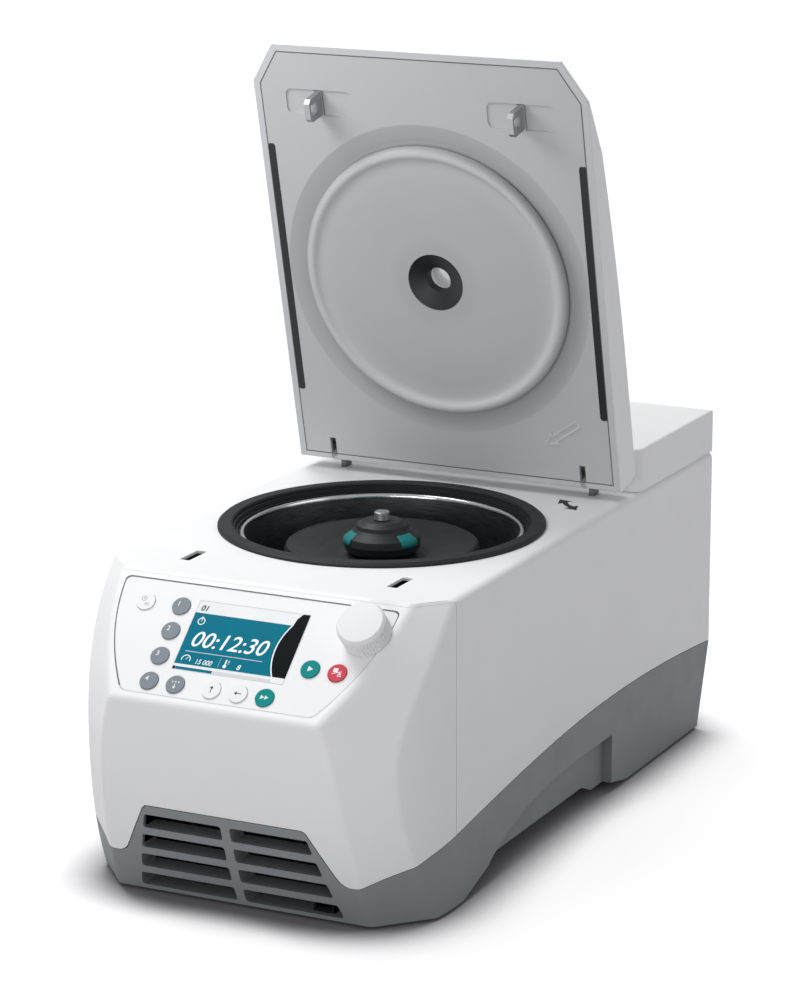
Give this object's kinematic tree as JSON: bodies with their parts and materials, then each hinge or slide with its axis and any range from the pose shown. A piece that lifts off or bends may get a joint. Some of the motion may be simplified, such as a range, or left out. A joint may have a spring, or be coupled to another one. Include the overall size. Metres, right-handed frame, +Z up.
{
  "type": "refrigerated microcentrifuge",
  "caption": "Benchtop refrigerated centrifuge with a cooled rotor chamber, raised locking lid, sloping key panel with screen and turning knob, and a front air grille.",
  "frame": {"origin": "on the standing plane of the feet, below the middle of the body's outline", "axes": "+X to the machine's right seen from the front user's side, +Y from the key panel to the rear panel, +Z up"},
  "size_m": [0.272, 0.5748, 0.5681],
  "materials": {
    "white_shell": "smooth white moulded plastic",
    "white_paint": "smooth white powder coat",
    "slate_base": "fine-textured slate grey plastic",
    "foot_rubber": "matt",
    "grey_paint": "satin light grey",
    "black_plastic": "matt black",
    "panel_film": "satin white film",
    "key_grey": "satin grey",
    "key_white": "satin white",
    "key_teal": "satin teal",
    "key_red": "satin red",
    "display_window": "clear glossy window over a blue screen",
    "board_green": "solder mask",
    "knob_silver": "satin white with fine ribs",
    "steel": "brushed",
    "black_rubber": "soft satin",
    "copper": "drawn copper tube",
    "foam": "cellular foam",
    "alloy": "cast and machined",
    "iron": "laminated",
    "rotor_coat": "hard-anodised anthracite",
    "grip_plastic": "satin anthracite",
    "compressor_paint": "satin black",
    "lid_grey": "fine-textured mid grey",
    "clear_window": "clear"
  },
  "bodies": {
    "body": {"base_housing": "slate_base", "rubber_feet": "foot_rubber", "main_housing": "white_paint", "front_housing": "white_shell", "rear_cover": "white_shell", "rear_panel": "grey_paint", "mains_module": "black_plastic", "panel_plate": "panel_film", "display_glass": "display_window", "display_module": "black_plastic", "control_board": "board_green", "knob_encoder": "steel", "rim_gasket": "black_rubber", "chamber_bowl": "steel", "evaporator_coil": "copper", "chamber_insulation": "foam", "guard_ring": "grey_paint", "chassis_plate": "steel", "rubber_mounts": "black_rubber", "motor_housing": "alloy", "motor_stator": "iron", "shaft_seal": "black_rubber", "condenser": "alloy", "condenser_fan_frame": "black_plastic", "compressor": "compressor_paint", "discharge_pipe": "copper", "filter_drier": "copper", "power_board": "board_green", "usb_socket": "steel", "hinge_brackets": "steel", "lock_housings": "black_plastic"},
    "lid": {"lid_shell": "white_shell", "lid_inner_panel": "lid_grey", "lid_disc": "lid_grey", "viewport_bushing": "grip_plastic", "viewport_glass": "clear_window", "latch_hooks": "steel", "hinge_pins": "steel"},
    "drive": {"drive_shaft": "steel", "motor_rotor": "iron"},
    "rotor": {"rotor": "rotor_coat"},
    "rotor_lid": {"rotor_lid": "rotor_coat"},
    "rotor_lid_grip": {"rotor_lid_grip": "grip_plastic"},
    "rotor_nut": {"rotor_nut": "steel"},
    "control_knob": {"control_knob": "knob_silver"},
    "power_switch_rocker": {"power_switch_rocker": "black_plastic"},
    "condenser_fan_blades": {"condenser_fan_blades": "black_plastic"},
    "lock_bolt_left": {"lock_bolt_left": "steel"},
    "lock_bolt_right": {"lock_bolt_right": "steel"},
    "key_power": {"key_power": "key_white"},
    "key_program_1": {"key_program_1": "key_grey"},
    "key_program_2": {"key_program_2": "key_grey"},
    "key_program_3": {"key_program_3": "key_grey"},
    "key_program_4": {"key_program_4": "key_grey"},
    "key_store": {"key_store": "key_grey"},
    "key_info": {"key_info": "key_white"},
    "key_back": {"key_back": "key_white"},
    "key_quick_run": {"key_quick_run": "key_teal"},
    "key_start": {"key_start": "key_teal"},
    "key_stop": {"key_stop": "key_red"}
  },
  "joints": [
    {"name": "lid_hinge", "type": "hinge", "parent": "body", "child": "lid", "pos_m": [0, 0.1193, 0.2521], "axis": [-1, 0, 0], "range_deg": [-77.2, 0]},
    {"name": "rotor_spin", "type": "hinge", "parent": "body", "child": "drive", "pos_m": [0, -0.029, 0.1], "axis": [0, 0, 1], "continuous": true},
    {"name": "rotor_lift", "type": "slide", "parent": "drive", "child": "rotor", "axis": [0, 0, 1], "range_m": [0, 0.1]},
    {"name": "rotor_lid_lift", "type": "slide", "parent": "rotor", "child": "rotor_lid", "axis": [0, 0, 1], "range_m": [0, 0.05]},
    {"name": "rotor_lid_grip_turn", "type": "hinge", "parent": "rotor_lid", "child": "rotor_lid_grip", "pos_m": [0, -0.029, 0.21], "axis": [0, 0, 1], "range_deg": [0, 120]},
    {"name": "rotor_nut_turn", "type": "hinge", "parent": "rotor_lid_grip", "child": "rotor_nut", "pos_m": [0, -0.029, 0.23], "axis": [0, 0, 1], "range_deg": [0, 270]},
    {"name": "control_knob_turn", "type": "hinge", "parent": "body", "child": "control_knob", "pos_m": [0.091, -0.23102, 0.20637], "axis": [0, -0.6655, 0.7464], "continuous": true},
    {"name": "key_power_press", "type": "slide", "parent": "body", "child": "key_power", "axis": [0, 0.6655, -0.7464], "range_m": [0, 0.0008], "stiffness_N_per_m": 600},
    {"name": "key_program_1_press", "type": "slide", "parent": "body", "child": "key_program_1", "axis": [0, 0.6655, -0.7464], "range_m": [0, 0.0008], "stiffness_N_per_m": 600},
    {"name": "key_program_2_press", "type": "slide", "parent": "body", "child": "key_program_2", "axis": [0, 0.6655, -0.7464], "range_m": [0, 0.0008], "stiffness_N_per_m": 600},
    {"name": "key_program_3_press", "type": "slide", "parent": "body", "child": "key_program_3", "axis": [0, 0.6655, -0.7464], "range_m": [0, 0.0008], "stiffness_N_per_m": 600},
    {"name": "key_program_4_press", "type": "slide", "parent": "body", "child": "key_program_4", "axis": [0, 0.6655, -0.7464], "range_m": [0, 0.0008], "stiffness_N_per_m": 600},
    {"name": "key_store_press", "type": "slide", "parent": "body", "child": "key_store", "axis": [0, 0.6655, -0.7464], "range_m": [0, 0.0008], "stiffness_N_per_m": 600},
    {"name": "key_info_press", "type": "slide", "parent": "body", "child": "key_info", "axis": [0, 0.6655, -0.7464], "range_m": [0, 0.0008], "stiffness_N_per_m": 600},
    {"name": "key_back_press", "type": "slide", "parent": "body", "child": "key_back", "axis": [0, 0.6655, -0.7464], "range_m": [0, 0.0008], "stiffness_N_per_m": 600},
    {"name": "key_quick_run_press", "type": "slide", "parent": "body", "child": "key_quick_run", "axis": [0, 0.6655, -0.7464], "range_m": [0, 0.0008], "stiffness_N_per_m": 600},
    {"name": "key_start_press", "type": "slide", "parent": "body", "child": "key_start", "axis": [0, 0.6655, -0.7464], "range_m": [0, 0.0008], "stiffness_N_per_m": 600},
    {"name": "key_stop_press", "type": "slide", "parent": "body", "child": "key_stop", "axis": [0, 0.6655, -0.7464], "range_m": [0, 0.0008], "stiffness_N_per_m": 600},
    {"name": "power_switch_turn", "type": "hinge", "parent": "body", "child": "power_switch_rocker", "pos_m": [0.072, 0.2795, 0.132], "axis": [0, 0, 1], "range_deg": [0, 16]},
    {"name": "condenser_fan_spin", "type": "hinge", "parent": "body", "child": "condenser_fan_blades", "pos_m": [0, -0.2, 0.0656], "axis": [0, 1, 0], "continuous": true},
    {"name": "lock_bolt_right_slide", "type": "slide", "parent": "body", "child": "lock_bolt_right", "axis": [1, 0, 0], "range_m": [0, 0.011]},
    {"name": "lock_bolt_left_slide", "type": "slide", "parent": "body", "child": "lock_bolt_left", "axis": [-1, 0, 0], "range_m": [0, 0.011]}
  ],
  "couplings": [
    {"joint": "lock_bolt_left_slide", "follows": "lock_bolt_right_slide", "ratio": 1}
  ]
}
